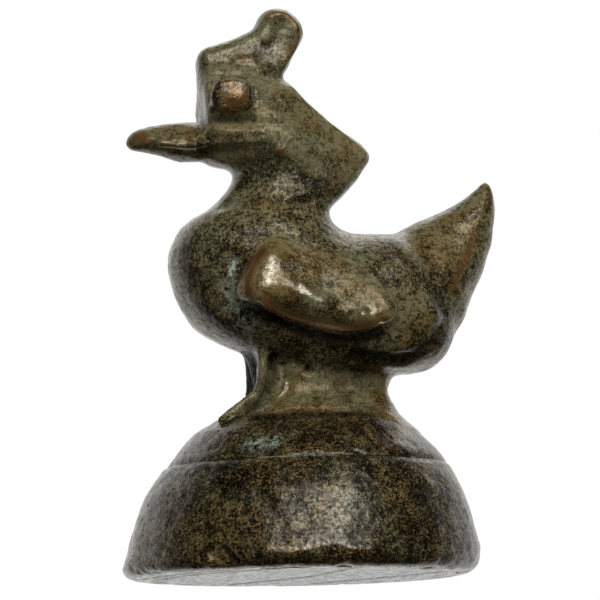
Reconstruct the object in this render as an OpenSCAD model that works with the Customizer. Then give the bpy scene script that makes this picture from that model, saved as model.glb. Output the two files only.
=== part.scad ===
// Cast bronze scale weight: a crested water bird standing on a domed base.
// The origin is the centre of the base's underside, +Z is up and the bird faces -X.
// Each piece is one of the wax forms that a founder presses together before casting.
// Every form is a loft over a few ribs, and each piece is cut back to the surface that it sits on.

/* [Base] */
// Diameter of the foot
base_d = 34.8; // [31:0.2:44]
// Height of the flat top of the base
base_h = 15.6; // [13:0.2:20]
// Diameter of the flat top
base_top_d = 18.4; // [17:0.2:23]
// Rounding of the lower edge
rim_r = 0.9; // [0.3:0.1:2]
// Height of the line scribed round the base
line_z = 11; // [6:0.1:12]
// Width of the scribed line
line_w = 0.5; // [0.3:0.1:1]
// Depth of the scribed line
line_depth = 0.3; // [0.1:0.05:0.5]

/* [Support block] */
// Height of the lowest point of the belly above the flat top of the base
stand_h = 4; // [3:0.1:6]
// Length of the block at its waist, fore and aft
block_len = 13.6; // [11:0.2:15]
// Width of the block at its waist
block_w = 6.6; // [5:0.2:8]
// Distance of the block's middle behind the base's axis
block_back = 2; // [1:0.1:3]
// Width over the raised panels on the block's sides
panel_w = 9; // [7.6:0.1:11]
// Length of a raised panel at its waist, fore and aft
panel_len = 4.8; // [3.6:0.1:7]
// Thickness of a raised panel's form
panel_t = 1.8; // [1.4:0.1:2.4]
// Distance of a panel's middle behind the base's axis
panel_back = 0.2; // [0:0.1:1.5]

/* [Legs] */
// Thickness of a leg, fore and aft
leg_t = 1.2; // [0.9:0.05:1.8]
// Width of a leg
leg_w = 1.8; // [1.2:0.1:2.6]
// Distance between the middles of the two legs
leg_gap = 6.8; // [5:0.1:8.5]
// Distance of the legs before the base's axis
leg_fore = 4.6; // [4:0.1:6]
// Reach of a foot before its leg, down the slope of the base
foot_len = 4.8; // [4:0.1:6.5]

/* [Body] */
// Length from breast to rump
body_len = 28.8; // [26:0.2:33]
// Height from belly to back
body_h = 14.2; // [12:0.2:17]
// Width across the flanks
body_w = 18.4; // [15:0.2:22]
// Reach of the breast before the base's axis
breast_fore = 13; // [12:0.1:15]
// Height of the neck above the back
neck_h = 6; // [5:0.1:8]
// Width of the neck
neck_w = 9.6; // [7:0.1:11]

/* [Tail] */
// Length of the tail, fore and aft, with its root
tail_len = 10.4; // [8:0.2:13]
// Height of the tail from its root to its tip
tail_h = 16.4; // [13:0.2:19]
// Width of the tail at its root
tail_w = 12.4; // [9:0.2:15]
// Depth of the tail's root inside the rump
tail_root = 6.4; // [5:0.1:8]
// Height of the tail's root above the belly
tail_rise = 3.1; // [2:0.1:4.5]

/* [Wings] */
// Length of a folded wing
wing_len = 16.2; // [13:0.2:19]
// Height of a folded wing
wing_h = 9.8; // [8:0.1:12]
// Thickness of the wing's form
wing_t = 5; // [4:0.1:6]
// Depth of the wing's middle inside the widest part of the flank
wing_sink = 0.4; // [0:0.1:0.8]
// Lean of the wing's upper edge towards the back
wing_lean = 2.4; // [1.4:0.1:3.4]
// Distance of the wing's front behind the breast
wing_back = 4.9; // [3:0.1:7]
// Height of the wing's lower edge above the belly
wing_rise = 4.2; // [3:0.1:5.5]

/* [Head] */
// Length of the head from forehead to nape
head_len = 17; // [14:0.2:20]
// Height of the head
head_h = 14.4; // [12:0.2:17]
// Width of the head
head_w = 10.8; // [9:0.1:13]
// Reach of the forehead before the throat
brow_fore = 3; // [1.5:0.1:4]
// Depth of the neck's top inside the head
neck_seat = 3.2; // [2.4:0.1:4.5]

/* [Eyes] */
// Length of an eye boss
eye_len = 3.5; // [2.4:0.1:4.4]
// Height of an eye boss
eye_h = 2.9; // [2:0.1:4]
// Height of an eye boss above the widest part of the cheek
eye_out = 0.1; // [0:0.05:1]
// Distance of the eye's middle behind the forehead
eye_back = 2.4; // [1.9:0.1:4]
// Height of the eye's middle above the lowest point of the head
eye_rise = 10.5; // [9:0.1:12]

/* [Bill] */
// Length of the bill before the forehead
bill_len = 7.5; // [5:0.1:11]
// Height of the bill at its root
bill_h = 4.6; // [3.5:0.1:6]
// Width of the bill at its root
bill_w = 7.2; // [5:0.1:8.5]
// Depth of the bill's root inside the head
bill_root = 2.5; // [1.5:0.1:4]
// Height of the bill above the lowest point of the head
bill_rise = 3.9; // [3:0.1:5]

/* [Crest] */
// Length of the crest, fore and aft
crest_len = 10.4; // [8:0.2:13]
// Height of the crest with its root
crest_h = 7.9; // [6:0.1:10]
// Thickness of the crest
crest_t = 4.6; // [3:0.1:6]
// Depth of the crest's root inside the head
crest_root = 2.6; // [1.6:0.1:4]
// Reach of the crest before the forehead
crest_fore = 0.2; // [0:0.1:1]

/* [Hidden] */

bronze = [0.28, 0.25, 0.2];
worn = [0.5, 0.4, 0.24];
left = -1;
right = 1;
steps = 3;
arc_steps = 6;
flank_steps = 8;
full_turn = [0, 360];
upper_angles = [0, 180];
lower_angles = [180, 360];
// Least half width of a rib
thin = 0.05;
// Place of the throat along the body's length, from the breast
throat = 0.22;

// Heights and places that follow from the sizes above
belly_z = base_h + stand_h;
back_z = belly_z + body_h;
throat_x = throat * body_len - breast_fore;
head_x = throat_x - brow_fore;
head_z = back_z + neck_h - neck_seat;
bill_z = head_z + bill_rise;
crest_x = head_x - crest_fore;
crest_z = head_z + head_h - crest_root;
tail_x = body_len - breast_fore - tail_root;
tail_z = belly_z + tail_rise;
wing_x = wing_back - breast_fore;
wing_z = belly_z + wing_rise;

// A rib runs from a top point to a bottom point and is twice as wide as its last value.
function rib(top, bottom, half_w) = concat(top, bottom, [half_w]);
function rib_top(r) = [r[0], r[1], r[2]];
function rib_bottom(r) = [r[3], r[4], r[5]];
function rib_half_w(r) = max(r[6], thin);

// A smooth curve through four ribs, between the second and the third
function between(a, b, c, d, t) =
  (2 * b + (c - a) * t + (2 * a - 5 * b + 4 * c - d) * t * t + (3 * b - a - 3 * c + d) * t * t * t) / 2;

function smooth_ribs(ribs) =
  let (last = len(ribs) - 1)
  [
    for (i = [0 : last - 1])
      for (s = [0 : steps - 1])
        between(ribs[max(i - 1, 0)], ribs[i], ribs[i + 1], ribs[min(i + 2, last)], s / steps),
    ribs[last]
  ];

function signed_pow(v, p) = sign(v) * pow(abs(v), p);

// Points round one rib, from 0 degrees at the across side through 90 at the top.
// square is 2 for an ellipse, more for a boxy form and less for a ridged one,
// and ridge is the place of the widest part, from 0 at the bottom to 1 at the top.
function rib_ring(r, sides, square, ridge, across, arc) =
  let (top = rib_top(r), bottom = rib_bottom(r), middle = bottom + (top - bottom) * ridge)
  [
    for (k = [0 : arc == full_turn ? sides - 1 : sides])
      let (a = arc[0] + (arc[1] - arc[0]) * k / sides, rise = signed_pow(sin(a), 2 / square))
      middle + (rise > 0 ? top - middle : middle - bottom) * rise
        + across * rib_half_w(r) * signed_pow(cos(a), 2 / square)
  ];

function rib_middle(r) = (rib_top(r) + rib_bottom(r)) / 2;
function reversed(list) = [for (i = [len(list) - 1 : -1 : 0]) list[i]];

// Ribs in the order that turns the loft's faces outwards
function outward(ribs, across) =
  let (facing = cross(across, rib_top(ribs[0]) - rib_bottom(ribs[0])))
  facing * (rib_middle(ribs[1]) - rib_middle(ribs[0])) > 0 ? ribs : reversed(ribs);

module loft(ribs, sides = 24, square = 2, ridge = 0.5, across = [0, 1, 0], arc = full_turn) {
  smooth = smooth_ribs(outward(ribs, across));
  rings = [for (r = smooth) rib_ring(r, sides, square, ridge, across, arc)];
  n = len(rings[0]);
  last = len(rings) - 1;
  skin = [
    for (i = [0 : last - 1])
      for (k = [0 : n - 1])
        let (a = i * n + k, b = i * n + (k + 1) % n)
        each [[a, b + n, b], [a, a + n, b + n]]
  ];
  ends = [[for (k = [0 : n - 1]) k], [for (k = [n - 1 : -1 : 0]) last * n + k]];
  polyhedron([for (ring = rings) each ring], concat(skin, ends), convexity = 6);
}

// Base: a dome with a flat top and a scribed line, turned about the Z axis
dome_h = base_h / sqrt(1 - pow(base_top_d / base_d, 2));
function dome_r(z) = base_d / 2 * sqrt(1 - pow(z / dome_h, 2));
function dome_flank(low, high) =
  [for (k = [0 : flank_steps]) let (z = low + (high - low) * k / flank_steps) [dome_r(z), z]];

module base_form() {
  line_low = line_z - line_w / 2;
  line_high = line_z + line_w / 2;
  rim = [
    for (k = [0 : arc_steps - 1])
      let (a = 90 * k / arc_steps)
      [dome_r(rim_r) - rim_r + rim_r * sin(a), rim_r - rim_r * cos(a)]
  ];
  line_floor = [dome_r(line_z) - line_depth, line_z];
  lower = dome_flank(rim_r, line_low);
  upper = dome_flank(line_high, base_h);
  rotate_extrude($fn = 96)
    polygon(concat([[0, 0]], rim, lower, [line_floor], upper, [[0, base_h]]));
}

// Support block: a waisted core with a raised panel on each side
function block_rib(rise, front, back, w) =
  rib(
    [block_back + front * block_len / 2, 0, base_h + rise * stand_h],
    [block_back + back * block_len / 2, 0, base_h + rise * stand_h],
    w * block_w / 2
  );

// A panel flares to a skirt, and a flare of 1 reaches the edge of the base's flat top.
function panel_rib(side, rise, front, back, flare) =
  let (
    z = base_h + rise * stand_h,
    half_t = (panel_t + flare * (base_top_d - panel_w) / 2) / 2,
    y = side * (panel_w / 2 - panel_t + half_t)
  )
  rib([panel_back + front * panel_len / 2, y, z], [panel_back + back * panel_len / 2, y, z], half_t);

module block_form() {
  loft([
    block_rib(-0.3, -1.3, 1.36, 2.5),
    block_rib(0, -1.16, 1.22, 2.15),
    block_rib(0.25, -1.06, 1.09, 1.4),
    block_rib(0.6, -1, 0.97, 1),
    block_rib(1.1, -1.05, 1.08, 1.08),
    block_rib(1.9, -1.2, 1.3, 1.3)
  ], sides = 24, square = 2.6);
  for (side = [left, right])
    loft([
      panel_rib(side, -0.2, -2.75, 2.6, 0.92),
      panel_rib(side, 0, -2.6, 2.45, 0.84),
      panel_rib(side, 0.12, -2.2, 2.1, 0.55),
      panel_rib(side, 0.27, -1.65, 1.75, 0.28),
      panel_rib(side, 0.5, -1.15, 1.2, 0.07),
      panel_rib(side, 0.75, -1, 1, 0),
      panel_rib(side, 1.1, -1, 0.9, 0),
      panel_rib(side, 1.7, -1.2, 0.8, 0)
    ], sides = 14, square = 3);
}

// Legs: a strap that drops from the belly and runs forward as a foot
function leg_rib(side, front, front_z, back, back_z, w) =
  let (y = side * leg_gap / 2)
  rib([front - leg_fore, y, front_z], [back - leg_fore, y, back_z], w * leg_w / 2);

module leg_form(side) {
  toe_x = -leg_fore - foot_len;
  toe_r = norm([toe_x, leg_gap / 2]);
  toe_z = dome_h * sqrt(1 - pow(2 * toe_r / base_d, 2));
  ankle_z = base_h + leg_t;
  hip_z = belly_z + body_h * 0.3;
  t = leg_t / 2;
  loft([
    leg_rib(side, -t, hip_z, t, hip_z, 1),
    leg_rib(side, -t, belly_z + t, t, belly_z + t, 0.95),
    leg_rib(side, -t, ankle_z + 2.2 * t, t, ankle_z + t, 0.95),
    leg_rib(side, -foot_len * 0.18, ankle_z + 1.9 * t, t, base_h - t, 1),
    leg_rib(side, -foot_len * 0.5, ankle_z + 0.4 * t, -foot_len * 0.22, base_h - leg_t, 1.1),
    leg_rib(side, -foot_len * 0.8, (ankle_z + toe_z) / 2 + 0.2 * t, -foot_len * 0.6, base_h - 2 * leg_t, 1.15),
    leg_rib(side, -foot_len, toe_z + 0.2 * t, -foot_len * 0.92, toe_z - leg_t, 0.9)
  ], sides = 12, square = 3);
}

// Body: ribs that stand upright along the trunk and fan forward round the breast into the neck
function trunk_at(x, z) = [x * body_len - breast_fore, 0, belly_z + z * body_h];
function neck_at(x, z) = [x * body_len - breast_fore, 0, back_z + z * neck_h];

module body_form() {
  loft([
    rib(trunk_at(0.985, 0.5), trunk_at(0.99, 0.34), 0.13 * body_w / 2),
    rib(trunk_at(0.945, 0.69), trunk_at(0.96, 0.175), 0.46 * body_w / 2),
    rib(trunk_at(0.88, 0.88), trunk_at(0.9, 0.055), 0.7 * body_w / 2),
    rib(trunk_at(0.775, 1), trunk_at(0.775, 0.015), 0.89 * body_w / 2),
    rib(trunk_at(0.64, 1), trunk_at(0.6, 0), 0.98 * body_w / 2),
    rib(neck_at(0.59, 0.07), trunk_at(0.405, 0.045), body_w / 2),
    rib(neck_at(0.56, 0.19), trunk_at(0.23, 0.197), 0.98 * body_w / 2),
    rib(neck_at(0.553, 0.28), trunk_at(0.081, 0.378), 0.92 * body_w / 2),
    rib(neck_at(0.55, 0.35), trunk_at(-0.005, 0.76), 0.81 * body_w / 2),
    rib(neck_at(0.555, 0.42), neck_at(0.04, 0.1), 1.33 * neck_w / 2),
    rib(neck_at(0.575, 0.5), neck_at(0.15, 0.48), 1.12 * neck_w / 2),
    rib(neck_at(0.59, 0.63), neck_at(throat, 0.9), neck_w / 2),
    rib(neck_at(0.575, 0.95), neck_at(0.24, 1.15), 0.96 * neck_w / 2),
    rib(neck_at(0.53, 1.3), neck_at(0.27, 1.45), 0.9 * neck_w / 2)
  ], sides = 32, square = 2.2);
}

// Tail: an upturned point that grows out of the rump
function tail_at(x, z) = [tail_x + x * tail_len, 0, tail_z + z * tail_h];

module tail_form() {
  loft([
    rib(tail_at(0, 0.67), tail_at(0.46, 0), tail_w / 2),
    rib(tail_at(0.157, 0.735), tail_at(0.647, 0.123), 0.87 * tail_w / 2),
    rib(tail_at(0.382, 0.79), tail_at(0.735, 0.265), 0.71 * tail_w / 2),
    rib(tail_at(0.598, 0.852), tail_at(0.858, 0.432), 0.53 * tail_w / 2),
    rib(tail_at(0.775, 0.926), tail_at(0.961, 0.648), 0.355 * tail_w / 2),
    rib(tail_at(0.87, 0.985), tail_at(1, 0.846), 0.2 * tail_w / 2),
    rib(tail_at(0.91, 1.005), tail_at(0.975, 0.957), 0.12 * tail_w / 2)
  ], sides = 20, square = 2);
}

// Wings: a folded wing is a leaf that leans against the flank
function wing_rib(side, top_x, top, bottom_x, bottom, w) =
  let (y = body_w / 2 - wing_sink)
  rib(
    [wing_x + top_x * wing_len, side * (y - wing_lean * top), wing_z + top * wing_h],
    [wing_x + bottom_x * wing_len, side * (y - wing_lean * bottom), wing_z + bottom * wing_h],
    w * wing_t / 2
  );

module wing_form(side) {
  loft([
    wing_rib(side, 0, 0.43, 0.012, 0.306, 0.4),
    wing_rib(side, 0.1, 0.694, 0.086, 0.265, 0.92),
    wing_rib(side, 0.235, 0.96, 0.235, 0.214, 1.06),
    wing_rib(side, 0.377, 1, 0.42, 0.122, 1),
    wing_rib(side, 0.562, 0.857, 0.623, 0.05, 0.85),
    wing_rib(side, 0.716, 0.735, 0.796, 0, 0.85),
    wing_rib(side, 0.852, 0.55, 0.914, 0.02, 0.95),
    wing_rib(side, 0.963, 0.35, 0.98, 0.09, 0.75),
    wing_rib(side, 1, 0.245, 1, 0.194, 0.16)
  ], sides = 20, square = 2.3, ridge = 0.32);
}

// Head: a flat forehead that widens to the cheeks and runs back to a pointed nape
function head_at(x, z) = [head_x + x * head_len, 0, head_z + z * head_h];

module head_form() {
  loft([
    rib(head_at(0, 0.98), head_at(0.012, 0.347), 0.68 * head_w / 2),
    rib(head_at(0.05, 1), head_at(0.05, 0.278), 0.8 * head_w / 2),
    rib(head_at(0.25, 0.98), head_at(0.226, 0.229), 0.96 * head_w / 2),
    rib(head_at(0.475, 0.89), head_at(0.446, 0.125), head_w / 2),
    rib(head_at(0.643, 0.715), head_at(0.625, 0.028), 0.89 * head_w / 2),
    rib(head_at(0.798, 0.549), head_at(0.762, 0), 0.685 * head_w / 2),
    rib(head_at(0.92, 0.455), head_at(0.881, 0.139), 0.43 * head_w / 2),
    rib(head_at(1, 0.365), head_at(0.99, 0.32), 0.11 * head_w / 2)
  ], sides = 28, square = 2, ridge = 0.4);
}

// Eyes: a squared boss that stands out from the side of the head
function eye_rib(side, out, size) =
  let (x = head_x + eye_back, y = side * (head_w / 2 + out), z = head_z + eye_rise)
  rib([x, y, z + size * eye_h / 2], [x, y, z - size * eye_h / 2], size * eye_len / 2);

module eye_form(side) {
  root = -0.3 * head_w;
  edge = 0.2 * eye_len;
  loft([
    eye_rib(side, root, 1),
    eye_rib(side, eye_out - edge, 1),
    eye_rib(side, eye_out - 0.3 * edge, 0.93),
    eye_rib(side, eye_out, 0.75)
  ], sides = 20, square = 4, across = [1, 0, 0]);
}

// Bill: two halves that meet along the ridge of the mouth
function bill_at(x, z) = [head_x - x * bill_len, 0, bill_z + z * bill_h];

module bill_form(arc) {
  root = -bill_root / bill_len;
  loft([
    rib(bill_at(1, 0.61), bill_at(1, 0.478), 0.14 * bill_w / 2),
    rib(bill_at(0.911, 0.78), bill_at(0.9, 0.37), 0.36 * bill_w / 2),
    rib(bill_at(0.658, 0.913), bill_at(0.633, 0.283), 0.58 * bill_w / 2),
    rib(bill_at(0.31, 0.978), bill_at(0.278, 0.13), 0.78 * bill_w / 2),
    rib(bill_at(0.05, 1), bill_at(0.025, 0.12), 0.94 * bill_w / 2),
    rib(bill_at(root, 1), bill_at(root, 0.1), bill_w / 2)
  ], sides = 12, square = 1.6, ridge = 0.4, arc = arc);
}

// Crest: a comb that rises from the forehead to a knob and leans back
function crest_at(x, z) = [crest_x + x * crest_len, 0, crest_z + z * crest_h];

module crest_form() {
  loft([
    rib(crest_at(0, 0.39), crest_at(0.01, -0.05), 0.6 * crest_t / 2),
    rib(crest_at(0.06, 0.49), crest_at(0.13, -0.12), 0.84 * crest_t / 2),
    rib(crest_at(0.22, 0.557), crest_at(0.35, -0.13), 0.96 * crest_t / 2),
    rib(crest_at(0.42, 0.65), crest_at(0.6, -0.06), crest_t / 2),
    rib(crest_at(0.55, 0.75), crest_at(0.8, 0.13), crest_t / 2),
    rib(crest_at(0.585, 0.85), crest_at(0.93, 0.418), 0.96 * crest_t / 2),
    rib(crest_at(0.63, 0.945), crest_at(1.01, 0.58), 0.92 * crest_t / 2),
    rib(crest_at(0.72, 1), crest_at(1.03, 0.747), 0.72 * crest_t / 2),
    rib(crest_at(0.86, 0.99), crest_at(0.97, 0.88), 0.36 * crest_t / 2)
  ], sides = 20, square = 3);
}

module base() {
  color(bronze) base_form();
}

module support_block() {
  color(bronze)
    difference() {
      block_form();
      base_form();
      body_form();
    }
}

module leg(side) {
  color(bronze)
    difference() {
      leg_form(side);
      base_form();
      block_form();
      body_form();
    }
}

module left_leg() {
  leg(left);
}

module right_leg() {
  leg(right);
}

module body() {
  color(bronze) body_form();
}

module tail() {
  color(bronze)
    difference() {
      tail_form();
      body_form();
    }
}

module wing(side) {
  color(worn)
    difference() {
      wing_form(side);
      body_form();
    }
}

module left_wing() {
  wing(left);
}

module right_wing() {
  wing(right);
}

module head() {
  color(bronze)
    difference() {
      head_form();
      body_form();
    }
}

module eye(side) {
  color(worn)
    difference() {
      eye_form(side);
      head_form();
    }
}

module left_eye() {
  eye(left);
}

module right_eye() {
  eye(right);
}

module bill_half(arc) {
  color(bronze)
    difference() {
      bill_form(arc);
      head_form();
    }
}

module upper_bill() {
  bill_half(upper_angles);
}

module lower_bill() {
  bill_half(lower_angles);
}

module crest() {
  color(bronze)
    difference() {
      crest_form();
      head_form();
    }
}

base();
support_block();
left_leg();
right_leg();
body();
tail();
left_wing();
right_wing();
head();
left_eye();
right_eye();
upper_bill();
lower_bill();
crest();
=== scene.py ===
"""The looks of a bird-shaped scale weight: one cast skin, its patina, and a plain studio."""
import math

import bmesh
import bpy
import numpy as np
from mathutils import Matrix, Vector
from mathutils.bvhtree import BVHTree


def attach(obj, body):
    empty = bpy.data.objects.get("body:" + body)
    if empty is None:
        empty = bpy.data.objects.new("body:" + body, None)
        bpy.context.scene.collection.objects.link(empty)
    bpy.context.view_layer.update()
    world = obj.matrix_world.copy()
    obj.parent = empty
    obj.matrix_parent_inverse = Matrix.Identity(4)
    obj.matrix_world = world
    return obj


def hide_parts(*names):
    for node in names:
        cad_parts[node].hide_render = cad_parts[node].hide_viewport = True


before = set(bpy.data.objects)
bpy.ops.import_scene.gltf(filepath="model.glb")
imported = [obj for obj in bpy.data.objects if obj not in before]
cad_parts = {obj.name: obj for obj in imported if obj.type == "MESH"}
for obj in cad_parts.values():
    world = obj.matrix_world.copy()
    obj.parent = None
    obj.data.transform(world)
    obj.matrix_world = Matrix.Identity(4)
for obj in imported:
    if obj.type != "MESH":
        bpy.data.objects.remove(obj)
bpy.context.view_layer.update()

# Lengths are in millimetres, except for those of the camera, the floor and the lamps, in metres
MM = 0.001
VOXEL = 0.17
TINY = 1e-12

# Each CAD node: its finish, how far its edges are melted into its neighbours, how grainy its surface is,
# how far its patina goes from brown to grey olive, how pale it is, and how well it shines
PIECES = {
    "base": ("bronze", 0.5, 1.0, -0.12, -0.01, 0.55),
    "support_block": ("bronze", 0.8, 0.5, 0.5, 0.15, 0.2),
    "left_leg": ("bronze", 0.8, 0.4, 0.95, 0.11, 0.3),
    "right_leg": ("bronze", 0.8, 0.4, 0.95, 0.11, 0.3),
    "body": ("bronze", 1.0, 0.9, 0.5, 0.015, 0.35),
    "tail": ("bronze", 0.5, 0.7, 0.4, 0.095, 0.4),
    "left_wing": ("worn_bronze", 0.45, 0.6, 0.35, 0.11, 0.4),
    "right_wing": ("worn_bronze", 0.45, 0.6, 0.35, 0.11, 0.4),
    "head": ("bronze", 0.8, 0.5, 0.85, 0.12, 0.15),
    "left_eye": ("worn_bronze", 0.2, 0.9, 0.3, 0.0, 1.0),
    "right_eye": ("worn_bronze", 0.2, 0.9, 0.3, 0.0, 1.0),
    "upper_bill": ("bronze", 0.25, 0.5, 0.6, 0.055, 0.4),
    "lower_bill": ("bronze", 0.25, 0.6, 0.35, 0.04, 0.5),
    "crest": ("bronze", 0.45, 0.5, 0.9, 0.06, 0.45),
}
FINISH, MELT, GRAIN, OLIVE, PALE, GLOSS = range(6)
NAMES = list(PIECES)
LEGS = ["left_leg", "right_leg"]

# In a round of smoothing, each point goes halfway to its neighbours. More rounds reach further.
HALFWAY = 0.5
LABEL_ROUNDS = 6
MELT_ROUNDS = 45
LEG_ROUNDS = 12
EYE_ROUNDS = 6
NORMAL_ROUNDS = 6
RUN_OVER_ROUNDS = {MELT: 6, GRAIN: 40, OLIVE: 80, PALE: 20, GLOSS: 20}

# Places where two wax forms were smoothed together: middle, reach each way, rounds
SMOOTHED = [
    ((-2.5, 0, 38.4), (9, 9, 3), 160),
    ((-6, 0, 49.7), (5.5, 6, 1.4), 80),
    ((8.5, 0, 33.5), (5, 9, 3), 120),
    ((-4.6, 0, 21.4), (2.4, 7, 1.2), 60),
    ((10.6, 0, 15.0), (4, 9, 2.4), 160),
    ((3.0, 0, 45.0), (6, 3, 5), 40),
    ((11.5, 0, 25.0), (5, 10, 6), 60),
]
SMOOTHED_FADE = 1.6

# Wax pressed in between the legs and the block: middle and reach each way
FILLETS = [((-3.4, side * 2.7, 19.2), (1.3, 1.35, 3.0)) for side in (-1, 1)]
FILLET_SUBDIVISIONS = 3

# The dome leans and its wall isn't even: how far its middle goes off the axis, and its growth, by height
BASE_AT = [0, 1, 2.5, 5, 8, 12, 14.2, 15.1, 15.9, 16.8, 17.6, 18.6]
LEAN = [-0.7, -0.5, -0.17, -0.08, 0.05, 0.47, 0.25, 0.12, 0.1, -0.1, -0.1, 0]
GROWTH = [-0.1, 0.22, 0.2, 0.07, 0.15, -0.08, -0.1, -0.55, -0.5, 0, 0.15, 0]

# The right leg bends back towards its foot, by height, and the left eye is spread from its middle in x and z
RIGHT_FOOT_AT = [16.8, 18.2, 20, 22]
RIGHT_FOOT_BACK = [1.1, 0.45, 0.3, 0]
EYE_MIDDLE = (-7.6, 46.8)
EYE_SPREAD = 0.16

# The line scribed round the base
LINE_Z = 11.0
LINE_WIDTH = 0.2
LINE_DEPTH = 0.08
LINE_INSIDE = 9

# Marks are (height, width, points). Those on a side have points of x and z, seen square from that side.
CREST_MARKS = [
    (-0.4, 1.4, [(-1.9, 54.2), (-2.4, 52.7), (-3.4, 51.9)]),
    (-0.15, 1.0, [(-8.2, 50.9), (-6.5, 51.9), (-4.6, 52.9)]),
    (0.22, 0.45, [(-3.0, 55.2), (-1.5, 55.7), (-0.3, 54.9), (0.1, 53.6), (-0.3, 52.2), (-1.5, 50.6)]),
    (0.22, 0.5, [(-6.5, 50.9), (-4.5, 51.0)]),
    (0.3, 0.7, [(-8.8, 50.0), (-6.0, 49.8), (-3.2, 49.9)]),
]
UNDER_BILL = [(-10.3, 41.7), (-8.2, 41.8), (-6.4, 41.9)]
UNDER_EYE = [(-9.2, 45.0), (-7.7, 44.8), (-6.3, 44.6), (-5.6, 45.0)]
CHEEK_SPOT = [(-2.9, 41.8), (-2.3, 41.6)]
FACE_MARKS = [
    (0.22, 0.4, [(-9.2, 45.8), (-9.2, 47.6)]),
    (0.25, 0.4, [(-5.6, 49.0), (-4.9, 48.2), (-4.7, 47.2)]),
    (-0.8, 0.6, UNDER_EYE),
    (0.35, 1.4, [(-7.5, 47.0), (-6.6, 46.9)]),
    (0.25, 0.8, [(-9.6, 43.6), (-7.6, 43.6), (-5.8, 43.5), (-4.4, 43.4)]),
    (0.25, 0.32, [(-14.4, 42.8), (-12.2, 42.4), (-10.9, 42.3), (-9.6, 42.6), (-5.6, 42.7), (-3.9, 42.8)]),
    (-0.5, 0.6, UNDER_BILL),
    (-0.15, 0.3, [(-6.0, 44.3), (-4.9, 44.15), (-4.2, 44.5), (-3.0, 44.3), (-2.0, 44.4)]),
    (0.25, 0.5, CHEEK_SPOT),
]
NAPE_MARKS = [
    (-0.35, 2.0, [(-0.5, 45.4), (2.2, 43.0), (4.2, 41.4)]),
    (-0.25, 0.9, [(-2.9, 46.8), (-0.9, 44.4), (1.9, 42.5)]),
    (0.25, 0.5, [(-1.2, 48.2), (2.0, 45.2), (5.0, 43.0), (6.6, 41.6)]),
    (-0.3, 0.38, [(-1.9, 36.6), (-0.2, 36.5), (1.6, 37.3)]),
    (0.22, 0.5, [(-1.6, 37.5), (0.2, 37.4), (1.9, 38.2)]),
    (-0.3, 1.0, [(-4.3, 39.7), (-6.0, 38.0), (-8.0, 36.4)]),
]
WING_SHOULDER = [(-4.6, 30.9), (-5.0, 29.1), (-5.3, 27.9)]
WING_TIP = [(4.6, 25.1), (5.3, 24.8)]
WING_RIM = [(-5.6, 26.6), (-3.6, 25.7), (-1.6, 24.8), (0.6, 24.1), (2.6, 23.9), (4.4, 24.0), (5.8, 24.4)]
UNDER_WING = [(-7.4, 26.2), (-5.3, 25.3), (-2.6, 24.0), (-0.6, 23.2), (1.9, 22.7), (4.4, 22.7), (6.6, 23.3)]
WING_MARKS = [
    (-0.55, 1.3, [(-7.9, 31.0), (-8.3, 29.2), (-8.7, 27.8), (-8.2, 26.2)]),
    (-1.0, 0.5, UNDER_WING),
    (0.4, 1.6, WING_SHOULDER),
    (0.35, 1.4, [(-3.4, 28.0), (-1.8, 27.2), (0.4, 26.2)]),
    (0.45, 0.4, WING_RIM),
    (-0.3, 1.0, [(0.2, 27.7), (1.6, 27.0), (2.7, 26.2)]),
    (0.4, 0.8, WING_TIP),
    (-0.4, 0.28, [(4.5, 25.4)]),
    (-0.3, 0.8, [(-3.3, 33.4), (-1.5, 32.6), (0.3, 31.8)]),
]
BELLY_FOLD = [(3.9, 21.5), (7.5, 21.1), (9.6, 21.0)]
RUMP_FOLD = [(9.6, 21.0), (11.0, 22.0), (12.1, 22.9), (13.2, 24.0)]
TAIL_CREASE = [(8.4, 31.7), (9.7, 30.1), (11.6, 28.2), (12.6, 26.5), (13.7, 25.1)]
TAIL_MARKS = [
    (-0.18, 0.8, TAIL_CREASE),
    (0.25, 1.0, [(7.7, 29.8), (9.3, 27.8), (11.1, 26.1)]),
    (0.3, 1.0, [(8.6, 24.9), (11.1, 24.7), (12.3, 25.4)]),
    (-0.6, 0.8, BELLY_FOLD),
    (-0.2, 0.9, RUMP_FOLD),
    (-0.3, 2.0, [(12.5, 31.5), (15.5, 34.0)]),
]
SKIRT_EDGE = [(-6.4, 15.2), (-3.0, 15.2), (0.9, 15.3), (4.8, 15.6)]
STRAP = [(-4.6, 22.1), (-4.6, 20.6), (-4.8, 19.1), (-5.4, 17.9), (-6.7, 17.0), (-8.0, 16.0), (-9.0, 15.2)]
VALLEY = [(-3.5, 21.4), (-3.4, 19.7), (-4.0, 18.2), (-5.2, 16.9), (-6.3, 15.9)]
PANEL_EDGE = [(-2.3, 19.0), (-2.4, 18.0), (-3.4, 17.2), (-5.0, 16.3), (-6.0, 15.7)]
BLOCK_MARKS = [
    (0.35, 0.5, STRAP),
    (-0.8, 0.6, VALLEY),
    (0.35, 0.35, PANEL_EDGE),
    (0.45, 0.32, [(-6.2, 15.9), (-3.0, 15.9), (0.9, 16.0), (4.8, 16.2)]),
    (-0.5, 0.32, SKIRT_EDGE),
    (-0.2, 1.1, [(4.2, 19.2), (6.0, 19.0)]),
]
BOTH_SIDES = CREST_MARKS + FACE_MARKS + NAPE_MARKS + WING_MARKS + TAIL_MARKS + BLOCK_MARKS

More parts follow.
